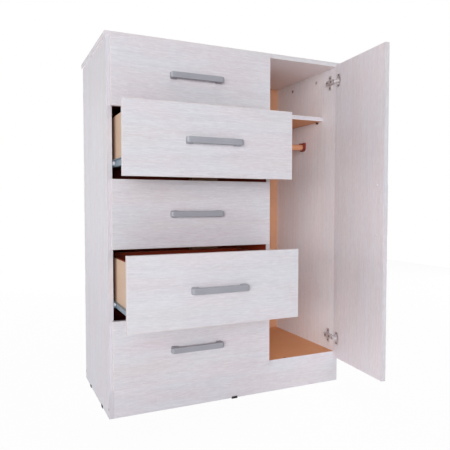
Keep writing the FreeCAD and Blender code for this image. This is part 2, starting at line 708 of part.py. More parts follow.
shoe_list = []
for side, x in (("left", "-outer_x + board / 2"), ("right", "outer_x - board / 2")):
    for spot, y in (("front", "front_y + shoe_front"), ("rear", "back_y - shoe_rear")):
        shoe_list.append(shoe(f"{side}_{spot}_shoe", True, x, y))
for rail, y in (("front", "front_y + board / 2"), ("back", "back_y - board / 2")):
    shoe_list.append(shoe(f"plinth_{rail}_shoe", False, "0", y))
glide_shoes = group("glide_shoes", shoe_list)


# ---------------------------------------------------------------- bar handle
# A moulded U: mounting face at y = 0, bar in front at -Y, centred on x = 0 and on its own height.


def handle_shape():
    body = new_body("handle_body")
    plan = sketch_on(body, "handle_plan", "XY_Plane")
    right = [("handle_foot_span / 2 - handle_foot_width", "0"), ("handle_foot_span / 2", "0"),
             ("handle_length / 2", "-handle_flare"), ("handle_length / 2", "-handle_standoff")]
    left = [(f"-( {x} )", y) for x, y in reversed(right)]
    heel = "handle_foot_span / 2 - handle_foot_width - handle_heel_slope"
    bay = [("handle_gap_span / 2", "handle_bar - handle_standoff"), (heel, "-handle_heel")]
    mirrored = [(f"-( {x} )", y) for x, y in reversed(bay)]
    polygon(plan, right + left + mirrored + bay)
    bar = pad(body, plan, "handle_height")
    bend = soften(body, bar, "handle_bend", lambda edge: runs_along(edge, "z") and is_outer(edge))
    bay_bend = soften(body, bend, "handle_gap_bend", lambda edge: runs_along(edge, "z") and is_inner(edge))
    soften(body, bay_bend, "handle_soften", faces_out)
    return body


def is_outer(edge):
    """The two outer corners of the bar."""
    return edge.CenterOfMass.y < -sizes.handle_standoff + 1e-3


def is_inner(edge):
    """The four corners of the finger gap."""
    middle = edge.CenterOfMass
    return abs(middle.x) < sizes.handle_foot_span / 2 - sizes.handle_foot_width - 1e-3 and middle.y < -1e-3


def faces_out(edge):
    """Edges around the bar's front face, from one end's foot to the other's."""
    middle = edge.CenterOfMass
    level = edge.BoundBox.ZLength < 1e-6
    front = middle.y < -sizes.handle_standoff + 1e-3
    end = abs(middle.x) > sizes.handle_foot_span / 2 and middle.y < -1e-3
    return level and (front or end)


handle_body = handle_shape()
handle_bores = [rod(f"handle_bore_{i}", "handle_screw_radius + bore_play", "handle_screw_grip + bore_play",
                    (x, "0", "handle_height / 2"), "front")
                for i, x in enumerate(("-handle_hole_spacing / 2", "handle_hole_spacing / 2"))]
handle = locate(cut("handle", handle_body, handle_bores), "0", "-front_board", "-handle_height / 2")
handle_screws = [fuse(f"handle_screw_{i}", [
    rod(f"handle_screw_shank_{i}", "handle_screw_radius", "handle_seat", (x, "0", "0"), "front"),
    rod(f"handle_screw_head_{i}", "handle_screw_head_radius", "handle_screw_head", (x, "0", "0"), "back")])
    for i, x in enumerate(("-handle_hole_spacing / 2", "handle_hole_spacing / 2"))]
# the handle with its two screws; y = 0 is the inner face of the front that it is fixed to
handle_set = group("handle_set", [handle] + handle_screws)


# ---------------------------------------------------------------- drawers
# Drawn from the front's lower left inner corner: x right, y back, z up.


def front_panel(name, width, height, fittings):
    """Front board with eased outer edges; fittings adds the pockets that its fittings need."""
    body = new_body(name)
    outline = sketch_on(body, name + "_outline", "XZ_Plane")
    polygon(outline, [("0", "0"), (width, "0"), (width, height), ("0", height)])
    blank = pad(body, outline, "front_board")
    outer = -sizes.front_board
    soften(body, blank, "front_edge_round", lambda edge: abs(edge.CenterOfMass.y - outer) < 1e-6)
    fittings(body, name)
    return body


def drawer_fittings(body, name):
    groove = sketch_on(body, name + "_groove", "XZ_Plane")
    low, high = "sheet_rise", "sheet_rise + groove_height"
    near = "box_left + drawer_board - groove_depth"
    far = "box_right - drawer_board + groove_depth"
    polygon(groove, [(near, low), (far, low), (far, high), (near, high)])
    pocket(body, groove, "groove_depth")
    holes = sketch_on(body, name + "_handle_holes", "XZ_Plane")
    for sign in ("-", "+"):
        circle(holes, f"drawer_front_width / 2 {sign} handle_hole_spacing / 2", "front_height / 2",
               "handle_screw_radius + screw_play")
    pocket(body, holes, "front_board")


def drawer_side(name, x, groove_x):
    blank = board(name + "_blank", ("drawer_board", "drawer_depth", "drawer_side_height"),
                  (x, "0", "drawer_lift"))
    groove = board(name + "_groove", ("groove_depth", "drawer_depth", "groove_height"),
                   (groove_x, "0", "sheet_rise"))
    return cut(name, blank, [groove])


def drawer_member(name, side):
    """Z-shaped rail under a drawer side; side is 1 where the drawer lies to its right."""
    body = new_body(name)
    profile = sketch_on(body, name + "_section", "XZ_Plane")
    metal, high = "runner_metal", "runner_web"
    corners = [("runner_flange", f"-{metal}"), ("runner_flange", "0"), ("0", "0"), ("0", high),
               ("runner_side_gap + runner_metal - runner_space", high),
               ("runner_side_gap + runner_metal - runner_space", f"{high} - {metal}"),
               (f"-{metal}", f"{high} - {metal}"), (f"-{metal}", f"-{metal}")]
    if side < 0:
        corners = [(f"-( {x} )", z) for x, z in corners]
    polygon(profile, corners)
    pad(body, profile, "drawer_depth", True)
    pin_x = f"-{metal}" if side > 0 else metal
    pin_at = (pin_x, "drawer_depth - roller_inset", "runner_rise + roller_z")
    pin = rod(name + "_pin", "roller_pin_radius", "runner_side_gap + roller_width", pin_at,
              "left" if side > 0 else "right")
    wheel = locate(group(name + "_roller", [right_roller if side > 0 else left_roller]), *pin_at)
    rail = fuse(name + "_rail", [body, pin])
    edge_x = "box_left" if side > 0 else "box_right"
    return locate(group(name + "_set", [rail, wheel]), edge_x, "0", "drawer_lift")


drawer_front = front_panel("drawer_front", "drawer_front_width", "front_height", drawer_fittings)
drawer_left = drawer_side("drawer_left", "box_left", "box_left + drawer_board - groove_depth")
drawer_right = drawer_side("drawer_right", "box_right - drawer_board", "box_right - drawer_board")
drawer_back = board("drawer_back", ("box_width - 2 * drawer_board", "drawer_board",
                                    "drawer_side_height - groove_rise - groove_height"),
                    ("box_left + drawer_board", "drawer_depth - drawer_board", "sheet_rise + groove_height"))
drawer_base = board("drawer_base", ("box_width - 2 * drawer_board + 2 * sheet_reach",
                                    "drawer_depth + sheet_reach", "drawer_sheet"),
                    ("box_left + drawer_board - sheet_reach", "-sheet_reach", "sheet_rise + sheet_play"))
drawer_handle = locate(group("drawer_handle_set", [handle_set]), "drawer_front_width / 2", "0",
                       "front_height / 2")
drawer_runners = group("drawer_runners", [drawer_member("left_member", 1), drawer_member("right_member", -1)])

nodes = {}
DRAWER_PIECES = {
    "front": drawer_front, "left_side": drawer_left, "right_side": drawer_right, "back": drawer_back,
    "bottom": drawer_base, "handle": drawer_handle, "runners": drawer_runners,
}
PULLS = {2: "drawer_2_pull", 4: "drawer_4_pull"}
for number in range(1, DRAWERS + 1):
    below = DRAWERS - number
    for piece, source in DRAWER_PIECES.items():
        node = group(f"drawer_{number}_{piece}", [source])
        nodes[node.Name] = locate(node, "fronts_left_x", f"fronts_y - {PULLS.get(number, '0')}",
                                  f"fronts_low_z + {below} * front_pitch")


# ---------------------------------------------------------------- door
# Drawn shut, from its hinge-side lower inner corner: the door runs towards -X, its outer face at -Y.

CUP_LEVELS = ("hinge_upper - fronts_low_z", "hinge_lower - fronts_low_z")


def door_fittings(body, name):
    cups = sketch_on(body, name + "_cup_bores", "XZ_Plane")
    for z in CUP_LEVELS:
        circle(cups, "door_width - cup_inset", z, "cup_radius + cup_bore_play")
    pocket(body, cups, "cup_depth + cup_bore_play")
    holes = sketch_on(body, name + "_small_holes", "XZ_Plane")
    for sign in ("-", "+"):
        circle(holes, "door_handle_inset", f"door_handle_rise {sign} handle_hole_spacing / 2",
               "handle_screw_radius + screw_play")
    pocket(body, holes, "front_board")
    pilots = sketch_on(body, name + "_pilots", "XZ_Plane")
    for z in CUP_LEVELS:
        for sign in ("-", "+"):
            circle(pilots, "door_width - cup_inset", f"{z} {sign} cup_screw_offset", "small_screw_radius + bore_play")
    pocket(body, pilots, "small_screw_length + bore_play")


def hinge_cup(name, z):
    """Drum with a rim and a screwed flange, its mouth on the door's inner face at y = 0."""
    at = ("-cup_inset", "0", z)
    drum = rod(name + "_drum", "cup_radius", "cup_depth", at, "front")
    rim = rod(name + "_rim", "cup_radius + cup_rim", "cup_flange", at, "back")
    flange = board(name + "_flange", ("2 * cup_flange_half_width", "cup_flange", "2 * cup_flange_half_height"),
                   ("-( cup_inset + cup_flange_half_width )", "0", f"{z} - cup_flange_half_height"))
    hollow = fuse(name + "_hollow", [
        rod(name + "_inside", "cup_radius - cup_wall", "cup_depth - cup_wall", at, "front"),
        rod(name + "_mouth", "cup_radius - cup_wall", "cup_flange", at, "back")])
    holes, screws = [], []
    for spot in ("-", "+"):
        place = ("-cup_inset", "0", f"{z} {spot} cup_screw_offset")
        tag = f"{name}_{'low' if spot == '-' else 'high'}"
        holes.append(rod(tag + "_hole", "small_screw_radius + bore_play", "cup_flange", place, "back"))
        screws.append(fuse(tag + "_screw", [
            rod(tag + "_shank", "small_screw_radius", "small_screw_length", place, "front"),
            rod(tag + "_neck", "small_screw_radius", "cup_flange", place, "back"),
            rod(tag + "_head", "small_screw_head_radius", "small_screw_head",
                (place[0], "cup_flange", place[2]), "back")]))
    shell = cut(name, fuse(name + "_solid", [drum, rim, flange]), [hollow] + holes)
    return [shell] + screws


door_board = front_panel("door_board", "door_width", "fronts_height", door_fittings)
upright_handle = group("upright_handle", [handle_set])
upright_handle.Placement = Placement(Vector(), TURN["right"])
bind(upright_handle, Placement__Base__x="door_handle_inset - door_width", Placement__Base__z="door_handle_rise")
DOOR_PIECES = {
    "door_panel": [locate(group("door_blank", [door_board]), "-door_width")],
    "door_handle": [upright_handle],
    "hinge_cups": hinge_cup("upper_cup", CUP_LEVELS[0]) + hinge_cup("lower_cup", CUP_LEVELS[1]),
}
for name, links_in in DOOR_PIECES.items():
    node = locate(group(name, links_in), "door_x", "door_y", "fronts_low_z")
    bind(node, Placement__Rotation__Angle=ANGLE.replace("Sizes.", ""))
    nodes[name] = node

for name, piece in {
    "top_panel": top_panel, "left_side": left_side, "right_side": right_side, "divider": divider,
    "bottom_panel": bottom_panel, "plinth_front": plinth_front, "plinth_back": plinth_back,
    "back_sheet_left": back_sheet_left, "back_sheet_right": back_sheet_right,
    "back_joint_strip": back_joint_strip, "hat_shelf": hat_shelf, "shelf_pins": shelf_pins,
    "hanging_rod": hanging_rod, "rod_sockets": rod_sockets, "cabinet_runners": cabinet_runners,
    "runner_rollers": runner_rollers, "hinge_plates": hinge_plates, "hinge_arms": hinge_arms,
    "hinge_links": hinge_links, "cam_locks": group("cam_locks", cam_locks),
    "cabinet_screws": group("cabinet_screws", cabinet_screws), "glide_shoes": glide_shoes,
}.items():
    nodes[name] = piece

for name, node in nodes.items():
    node.Label = name
doc.recompute()

for item in doc.Objects:
    if "Invalid" in item.State or "Error" in item.State:
        raise RuntimeError(f"{item.Name} is {item.State}")
for name, node in nodes.items():
    if node.Shape.isNull() or not node.Shape.isValid() or not node.Shape.Solids:
        raise RuntimeError(f"{name} has no valid solid")

os.makedirs("parts", exist_ok=True)
for name, node in nodes.items():
    node.Shape.exportStep(f"parts/{name}.step")
print(len(nodes), "nodes")
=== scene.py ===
"""Chifforobe: how its boards, fittings and handles look, dressed over the fixed frame."""

import json
import math

import bmesh
import bpy
from mathutils import Matrix, Vector

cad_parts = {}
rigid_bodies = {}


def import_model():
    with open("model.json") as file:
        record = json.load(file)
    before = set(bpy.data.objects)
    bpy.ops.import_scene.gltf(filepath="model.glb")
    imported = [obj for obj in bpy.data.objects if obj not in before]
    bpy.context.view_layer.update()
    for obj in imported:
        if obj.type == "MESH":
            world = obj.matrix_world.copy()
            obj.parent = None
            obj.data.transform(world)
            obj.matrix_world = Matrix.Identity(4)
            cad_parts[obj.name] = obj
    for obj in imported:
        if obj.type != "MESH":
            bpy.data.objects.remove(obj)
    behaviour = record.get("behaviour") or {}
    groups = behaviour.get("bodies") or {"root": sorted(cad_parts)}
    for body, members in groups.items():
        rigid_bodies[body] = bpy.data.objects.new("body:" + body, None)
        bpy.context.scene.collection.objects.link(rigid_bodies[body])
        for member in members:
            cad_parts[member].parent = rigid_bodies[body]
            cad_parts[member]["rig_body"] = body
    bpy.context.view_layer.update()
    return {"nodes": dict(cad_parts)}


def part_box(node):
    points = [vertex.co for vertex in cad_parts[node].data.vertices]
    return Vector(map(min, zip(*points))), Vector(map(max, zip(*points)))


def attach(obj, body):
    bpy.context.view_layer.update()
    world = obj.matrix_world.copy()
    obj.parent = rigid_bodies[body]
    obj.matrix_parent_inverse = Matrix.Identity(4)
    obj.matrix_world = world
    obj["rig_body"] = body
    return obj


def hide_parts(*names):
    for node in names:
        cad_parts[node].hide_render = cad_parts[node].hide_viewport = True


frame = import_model()

# ------------------------------------------------------------------ white boards
# Particle board faced with printed whitewashed-oak foil: bands of cool white, rose grey and sand,
# brushed dashes and fine fibres in low satin relief. The print is paler inside the hanging compartment
# and on the inside of the door, and plain white under the top: painted light. Edge tape in the same
# print; the narrow rounds along its edges are a lighter warm colour: a painted highlight.

OUTER_PRINT = {"cool": (212, 213, 220), "rose": (214, 207, 214), "sand": (210, 207, 205),
               "band": (194, 188, 194), "chalk": (225, 225, 230), "pore": (164, 156, 162)}
# Paler print for the walls inside the hanging compartment: painted light.
INNER_PRINT_PAINTED_LIGHT = {"cool": (232, 229, 234), "rose": (234, 225, 229), "sand": (232, 222, 216),
               "band": (214, 203, 205), "chalk": (240, 238, 240), "pore": (182, 171, 172)}
# Lighter print for the inside of the door: painted light.
DOOR_PRINT_PAINTED_LIGHT = {"cool": (220, 217, 223), "rose": (224, 214, 219), "sand": (221, 214, 211),
              "band": (205, 196, 200), "chalk": (234, 231, 235), "pore": (172, 162, 167)}
# Plain white for the underside of the top: painted light from below.
PLAIN_WHITE_PAINTED_LIGHT = ((255, 250, 251), (253, 246, 248), (248, 238, 240))
# Lighter warm colour for the narrow rounds along the edges: a painted highlight.
ARRIS_HIGHLIGHT = ((232, 214, 204), (224, 204, 192), (206, 182, 168))

# Layers of the print: length along the grain, width, fineness, where it starts and where it is
# full on the noise, and how much of it shows.
PRINT_LAYERS = {
    "blush": (0.22, 0.07, 1.0, 0.36, 0.64, 1.0),
    "sand": (1.1, 0.09, 1.0, 0.48, 0.7, 0.5),
    "bands": (0.3, 0.012, 2.0, 0.42, 0.7, 0.34),
    "dashes": (0.026, 0.0036, 2.0, 0.42, 0.66, 0.5),
    "fibres": (0.05, 0.0014, 3.0, 0.36, 0.66, 1.0),
    "pores": (0.014, 0.0008, 2.0, 0.62, 0.74, 1.0),
}
FIBRE_SHADE = 0.3
PORE_SHADE = 0.45
ROUGH_VALLEY, ROUGH_RIDGE = 0.58, 0.44
PRINT_RELIEF = 0.00012
BOARD_RELIEF = 0.00006
RELIEF_STRENGTH = 0.6
CLOUD_SIZE = 0.16

ARRIS = 0.0008
SAME_POINT = 0.00001
FLAT_ANGLE = math.radians(0.5)
EDGE_ANGLE = math.radians(50)
SQUARE_ON = 0.98

DRAWERS = (1, 2, 3, 4, 5)
DOOR_OPEN = math.radians(84.9)
DOOR_CLOSED = Matrix.Rotation(-DOOR_OPEN, 3, "Z")


def rgb(colour):
    """A colour given in 0..255, as linear light."""
    channels = []
    for level in colour:
        share = level / 255
        channels.append(share / 12.92 if share < 0.04045 else ((share + 0.055) / 1.055) ** 2.4)
    return (*channels, 1.0)


def new_finish(name, roughness, **sockets):
    """A material and its shader, with the given values on the shader's own sockets."""
    finish = bpy.data.materials.new(name)
    finish.use_nodes = True
    shader = finish.node_tree.nodes["Principled BSDF"]
    shader.inputs["Roughness"].default_value = roughness
    for socket, value in sockets.items():
        shader.inputs[socket.replace("_", " ")].default_value = value
    return finish, shader


def pattern(finish, patch, detail):
    """Noise in patches of the given length, width and height in metres."""
    nodes, links = finish.node_tree.nodes, finish.node_tree.links
    place = nodes.new("ShaderNodeTexCoord")
    mapping = nodes.new("ShaderNodeMapping")
    mapping.inputs["Scale"].default_value = [1 / side for side in patch]
    noise = nodes.new("ShaderNodeTexNoise")
    noise.inputs["Scale"].default_value = 1.0
    noise.inputs["Detail"].default_value = detail
    links.new(place.outputs["Object"], mapping.inputs["Vector"])
    links.new(mapping.outputs["Vector"], noise.inputs["Vector"])
    return noise.outputs["Fac"]


def spread(finish, value, low, high, to_low=0.0, to_high=1.0):
    """Stretches the part of a value between low and high over another range."""
    node = finish.node_tree.nodes.new("ShaderNodeMapRange")
    node.clamp = True
    ends = {"From Min": low, "From Max": high, "To Min": to_low, "To Max": to_high}
    for socket, number in ends.items():
        node.inputs[socket].default_value = number
    finish.node_tree.links.new(value, node.inputs["Value"])
    return node.outputs["Result"]


def tint(finish, amount, first, second):
    """Goes from the first colour to the second; each is a colour or another tint."""
    node = finish.node_tree.nodes.new("ShaderNodeMix")
    node.data_type = "RGBA"
    links = finish.node_tree.links
    links.new(amount, node.inputs["Factor"])
    for socket, colour in ((node.inputs[6], first), (node.inputs[7], second)):
        if isinstance(colour, tuple):
            socket.default_value = rgb(colour)
        else:
            links.new(colour, socket)
    return node.outputs[2]


def relief(finish, shader, height, depth):
    """Presses a pattern of heights into the surface."""
    node = finish.node_tree.nodes.new("ShaderNodeBump")
    node.inputs["Strength"].default_value = RELIEF_STRENGTH
    node.inputs["Distance"].default_value = depth
    finish.node_tree.links.new(height, node.inputs["Height"])
    finish.node_tree.links.new(node.outputs["Normal"], shader.inputs["Normal"])


def print_layer(finish, grain, length, width, detail, low, high, strength):
    """One layer of the printed oak, its patches lying along the grain."""
    patch = [length if axis == grain else width for axis in "xyz"]
    return spread(finish, pattern(finish, patch, detail), low, high, 0.0, strength)


def fibres_over_pores(finish, fibres, pores):
    """Height of the pressed surface: fibres stand up, pores sink in."""
    node = finish.node_tree.nodes.new("ShaderNodeMath")
    node.operation = "SUBTRACT"
    finish.node_tree.links.new(fibres, node.inputs[0])
    finish.node_tree.links.new(pores, node.inputs[1])
    return node.outputs[0]


def woodgrain_foil(name, grain, inks):
    """Printed oak in the given inks, its grain along one axis."""
    finish, shader = new_finish(name, 0.5, Specular_IOR_Level=0.35)
    layers = {layer: print_layer(finish, grain, *numbers) for layer, numbers in PRINT_LAYERS.items()}
    fibres, pores = layers["fibres"], layers["pores"]
    ground = tint(finish, layers["blush"], inks["cool"], inks["rose"])
    ground = tint(finish, layers["sand"], ground, inks["sand"])
    banded = tint(finish, layers["bands"], ground, inks["band"])
    brushed = tint(finish, layers["dashes"], banded, inks["chalk"])
    fibred = tint(finish, spread(finish, fibres, 0.0, 1.0, FIBRE_SHADE, 0.0), brushed, inks["band"])
    colour = tint(finish, spread(finish, pores, 0.0, 1.0, 0.0, PORE_SHADE), fibred, inks["pore"])
    sheen = spread(finish, fibres, 0.0, 1.0, ROUGH_VALLEY, ROUGH_RIDGE)
    finish.node_tree.links.new(colour, shader.inputs["Base Color"])
    finish.node_tree.links.new(sheen, shader.inputs["Roughness"])
    relief(finish, shader, fibres_over_pores(finish, fibres, pores), PRINT_RELIEF)
    return finish


def cloudy(finish, patch, detail):
    """Soft patches, as long as they are wide and high."""
    return spread(finish, pattern(finish, (patch, patch, patch), detail), 0.3, 0.7)


def colour_in(finish, shader, colours, clouds, specks, fleck, sheen):
    """Clouds of the first two colours under specks of the third; the sheen changes with the specks."""
    light, mid, dark = colours
    ground = tint(finish, clouds, light, mid)
    colour = tint(finish, spread(finish, specks, 0.0, 1.0, 0.0, fleck), ground, dark)
    finish.node_tree.links.new(colour, shader.inputs["Base Color"])
    finish.node_tree.links.new(spread(finish, specks, 0.0, 1.0, *sheen), shader.inputs["Roughness"])


def plain_foil(name, colours, roughness, speck=0.004):
    """Printed foil with a faint cloudy tone, a fine speckle and the board's slight unevenness."""
    finish, shader = new_finish(name, roughness, Specular_IOR_Level=0.3)
    clouds = cloudy(finish, CLOUD_SIZE, 3.0)
    specks = cloudy(finish, speck, 4.0)
    colour_in(finish, shader, colours, clouds, specks, 0.4, (roughness - 0.06, roughness + 0.08))
    relief(finish, shader, specks, BOARD_RELIEF)
    return finish


foil_level = woodgrain_foil("foil grain level", "x", OUTER_PRINT)
foil_upright = woodgrain_foil("foil grain upright", "z", OUTER_PRINT)
inner_upright_painted_light = woodgrain_foil("inner foil grain upright painted light", "z", INNER_PRINT_PAINTED_LIGHT)
door_inside_painted_light = woodgrain_foil("door inside foil painted light", "z", DOOR_PRINT_PAINTED_LIGHT)
white_foil_painted_light = plain_foil("plain white foil painted light", PLAIN_WHITE_PAINTED_LIGHT, 0.45)
# The finish for the narrow rounds along the edges, lighter than the foil: a painted highlight.
arris_highlight = plain_foil("arris painted highlight", ARRIS_HIGHLIGHT, 0.55, 0.002)


def body_of(node):
    return frame["nodes"][node]["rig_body"]


def select_only(piece):
    bpy.ops.object.select_all(action="DESELECT")
    piece.select_set(True)
    bpy.context.view_layer.objects.active = piece


def reshape(piece, name, kind, **settings):
    """Sets up one modifier on the active piece and applies it."""
    modifier = piece.modifiers.new(name, kind)
    for setting, value in settings.items():
        setattr(modifier, setting, value)
    bpy.ops.object.modifier_apply(modifier=modifier.name)


def sanded(node, round_over=ARRIS, steps=2):
    """A copy of the CAD board with a fine round along each edge."""
    mesh = frame["nodes"][node].data.copy()
    piece = bpy.data.objects.new(node + "_finished", mesh)
    mesh.materials.clear()
    bpy.context.scene.collection.objects.link(piece)
    select_only(piece)
    bpy.ops.object.mode_set(mode="EDIT")
    bpy.ops.mesh.select_all(action="SELECT")
    bpy.ops.mesh.remove_doubles(threshold=SAME_POINT)
    bpy.ops.mesh.dissolve_limited(angle_limit=FLAT_ANGLE)
    bpy.ops.object.mode_set(mode="OBJECT")
    reshape(piece, "sanded edges", "BEVEL", width=round_over, segments=steps,
            limit_method="ANGLE", angle_limit=EDGE_ANGLE)
    bpy.ops.object.shade_smooth_by_angle(angle=EDGE_ANGLE)
    reshape(piece, "flat faces stay flat", "WEIGHTED_NORMAL", keep_sharp=True, weight=100)
    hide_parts(node)
    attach(piece, body_of(node))
    return piece


def looking(x=0, y=0, z=0):
    """A test for normals that point the given way."""
    way = Vector((x, y, z))
    return lambda normal: normal.dot(way) > 0.5


def square_on(normal):
    """True for a face of the board itself, false for the narrow round along an edge."""
    return max(abs(normal.x), abs(normal.y), abs(normal.z)) > SQUARE_ON


def dress(piece, facing, edging=None, edged=None, arris=None, turned=None):
    """Lays the facing on a piece, the edging where edged(normal) says, and the arris on narrow rounds."""
    coats = [facing, edging or facing, arris or edging or facing]
    for coat in coats:
        piece.data.materials.append(coat)
    for face in piece.data.polygons:
        normal = turned @ face.normal if turned else face.normal
        if not square_on(normal):
            face.material_index = 2
        elif edged and edged(normal):
            face.material_index = 1


# The right side's inner face is in the paler print: painted light.
dress(sanded("right_side"), foil_upright, inner_upright_painted_light, looking(x=-1), arris_highlight)
# The door's inside is in the lighter print: painted light.
dress(sanded("door_panel"), foil_upright, door_inside_painted_light, looking(y=1), arris_highlight,
      DOOR_CLOSED)
# The top's underside is in plain white: painted light.
dress(sanded("top_panel"), foil_level, white_foil_painted_light, looking(z=-1), arris_highlight)
for node in ["plinth_front"] + [f"drawer_{k}_front" for k in DRAWERS]:
    dress(sanded(node), foil_level, arris=arris_highlight)

# ------------------------------------------------------------------ brown boards
# Shelf and floor of the hanging compartment are faced in plain caramel brown, its walls in the white
# foil. Around the drawers the boards are brown, darkened to red-brown: painted shade for the deep
# shade in the drawer bays. Every front edge has white tape; on the left side and the divider, whose
# edges sit back behind the fronts, it is a little greyer: painted shade.

CARAMEL = ((230, 164, 116), (220, 153, 104), (202, 133, 86))
# Red-brown for the boards in and around the drawers: painted shade.
RED_BROWN_SHADE = ((172, 66, 36), (158, 56, 28), (132, 42, 20))
# Greyer print for the tape on the front edges of the left side and the divider, set back behind the
# fronts: painted shade.
TAPE_PRINT_PAINTED_SHADE = {"cool": (202, 203, 210), "rose": (206, 198, 205), "sand": (202, 197, 196),
              "band": (186, 178, 185), "chalk": (214, 212, 218), "pore": (158, 150, 156)}

caramel = plain_foil("caramel facing", CARAMEL, 0.45)
red_brown_shade = plain_foil("red-brown facing painted shade", RED_BROWN_SHADE, 0.5)
upright_tape_painted_shade = woodgrain_foil("upright edge tape painted shade", "z", TAPE_PRINT_PAINTED_SHADE)


def away_from_drawers(normal):
    """True for every face of the left side but the one inside the cabinet."""
    return normal.x < 0.5


def faces_looking(piece, x=0, y=0, z=0):
    """The faces of a piece that look the given way."""
    wanted = looking(x, y, z)
    return [face for face in piece.data.polygons if wanted(face.normal)]


def add_coat(piece, coat, faces):
    """One more finish, on some faces of a piece."""
    piece.data.materials.append(coat)
    for face in faces:
        face.material_index = len(piece.data.materials) - 1


for node in ("bottom_panel", "hat_shelf"):
    dress(sanded(node), caramel, foil_level, looking(y=-1), arris_highlight)
dress(sanded("plinth_back"), caramel)

left_side = sanded("left_side")
# The left side's inner face is red-brown: painted shade.
dress(left_side, red_brown_shade, foil_upright, away_from_drawers, arris_highlight)
# The left side's front edge is in the greyer tape: painted shade.
add_coat(left_side, upright_tape_painted_shade, faces_looking(left_side, y=-1))
divider = sanded("divider")
# The divider's front edge is in the greyer tape: painted shade.
dress(divider, caramel, upright_tape_painted_shade, looking(y=-1), arris_highlight)
# The divider's left face is red-brown: painted shade.
add_coat(divider, red_brown_shade, faces_looking(divider, x=-1))
# The divider's right face is in the paler print: painted light.
add_coat(divider, inner_upright_painted_light, faces_looking(divider, x=1))

# ------------------------------------------------------------------ back
# Two sheets of thin hardboard nailed to the rear edges and joined in the middle by a plastic H-strip: raw
# brown at the back, inside caramel at the right and red-brown behind the drawers: painted shade.

HARDBOARD = ((232, 177, 142), (222, 166, 131), (204, 148, 114))
RAW_HARDBOARD = ((150, 98, 66), (138, 88, 58), (116, 70, 44))
STRIP_BROWN = ((176, 132, 102), (166, 122, 94), (152, 110, 82))

painted_hardboard = plain_foil("painted hardboard", HARDBOARD, 0.6, 0.0025)
raw_hardboard = plain_foil("raw hardboard", RAW_HARDBOARD, 0.75, 0.0018)
strip_plastic = plain_foil("joint strip", STRIP_BROWN, 0.5, 0.002)


def recoat(node, *coats):
    """Gives a CAD node its finishes, the first of them on every face, and returns the node."""
    piece = frame["nodes"][node]
    piece.data.materials.clear()
    for coat in coats:
        piece.data.materials.append(coat)
    for face in piece.data.polygons:
        face.material_index = 0
    return piece


# Behind the drawers the back's inside is red-brown: painted shade.
for node, inside in (("back_sheet_left", red_brown_shade), ("back_sheet_right", painted_hardboard)):
    sheet = recoat(node, raw_hardboard)
    add_coat(sheet, inside, faces_looking(sheet, y=-1))
recoat("back_joint_strip", strip_plastic)

# ------------------------------------------------------------------ drawer boxes
# Sides and back of each drawer are thin board, beige on the outside, grooved for a bottom of hardboard;
# inside, and on the bottom, they are red-brown: painted shade for the dark inside of the drawers.

BEIGE = ((206, 178, 155), (198, 169, 146), (184, 154, 131))
BOX_ARRIS = 0.0004
OUTWARDS = {"left_side": (-1, 0, 0), "right_side": (1, 0, 0), "back": (0, 1, 0)}

beige = plain_foil("beige foil", BEIGE, 0.5)
# Drawer insides and bottoms are red-brown: painted shade.
for k in DRAWERS:
    for part, way in OUTWARDS.items():
        board = sanded(f"drawer_{k}_{part}", BOX_ARRIS)
        dress(board, red_brown_shade, beige, looking(*way))
    recoat(f"drawer_{k}_bottom", red_brown_shade)

# ------------------------------------------------------------------ bar handles
# A moulded bar in satin grey: straight and thin between two feet that widen towards the wall, round
# at the ends, each foot drawn up by one pan-head screw that goes through the board from inside.

HANDLE_GREY = ((160, 161, 169), (152, 153, 161), (140, 140, 149))
ENAMEL_WHITE = ((222, 219, 224), (212, 208, 214), (196, 190, 196))
HANDLE_LENGTH = 0.214
HANDLE_HEIGHT = 0.026
HANDLE_REACH = 0.025
FRONT_TAPER = 0.17
BAR_DEPTH = 0.0068
FOOT_OUTER = 0.1015
FOOT_INNER = 0.0785
FLARE = 0.012
BEND = 0.011
INNER_BEND = 0.007
END_ROUND = 0.0098
SKIN_GRAIN = 0.0009
BOARD = 0.018
SCREW_SPACING = 0.192
SCREW_HEAD = (0.0042, 0.0022)
SCREW_CROSS = 0.0012
SCREW_ANGLE = math.radians(35)
PAINT_CLOUD = 0.05
NEAR = 0.0001

# Shares of a screw head: its rounding, and the length, width and narrower end of a cross's arm.
ROUNDING = 0.45
ARM_LENGTH, ARM_WIDTH, ARM_END = 1.2, 0.26, 0.6

DOOR_CORNER = (0.4808, -0.0791, 0.1095)
DOOR_WIDTH = 0.337
HANDLE_INSET = 0.0425
HANDLE_RISE = 0.6445


def painted(name, colours, roughness, speck, depth, **sockets):
    """Sprayed, plated or moulded surface with fine orange peel."""
    finish, shader = new_finish(name, roughness, **sockets)
    clouds = cloudy(finish, PAINT_CLOUD, 2.0)
    specks = cloudy(finish, speck, 3.0)
    colour_in(finish, shader, colours, clouds, specks, 0.5, (roughness - 0.05, roughness + 0.07))
    relief(finish, shader, specks, depth)
    return finish


def start_editing(piece):
    select_only(piece)
    bpy.ops.object.mode_set(mode="EDIT")
    bpy.ops.mesh.select_all(action="DESELECT")


def pick(kind, wanted):
    """Selects the faces, edges or vertices that wanted() accepts, and nothing else."""
    bpy.ops.mesh.select_mode(type={"faces": "FACE", "edges": "EDGE", "verts": "VERT"}[kind])
    bpy.ops.mesh.select_all(action="DESELECT")
    shape = bmesh.from_edit_mesh(bpy.context.object.data)
    for part in getattr(shape, kind):
        part.select_set(wanted(part))
    bmesh.update_edit_mesh(bpy.context.object.data)


def upright_at(edge, x, y):
    """True for an edge along Z at the given distance from the middle and the given depth."""
    return all(abs(abs(v.co.x) - x) < NEAR and abs(v.co.y - y) < NEAR for v in edge.verts)


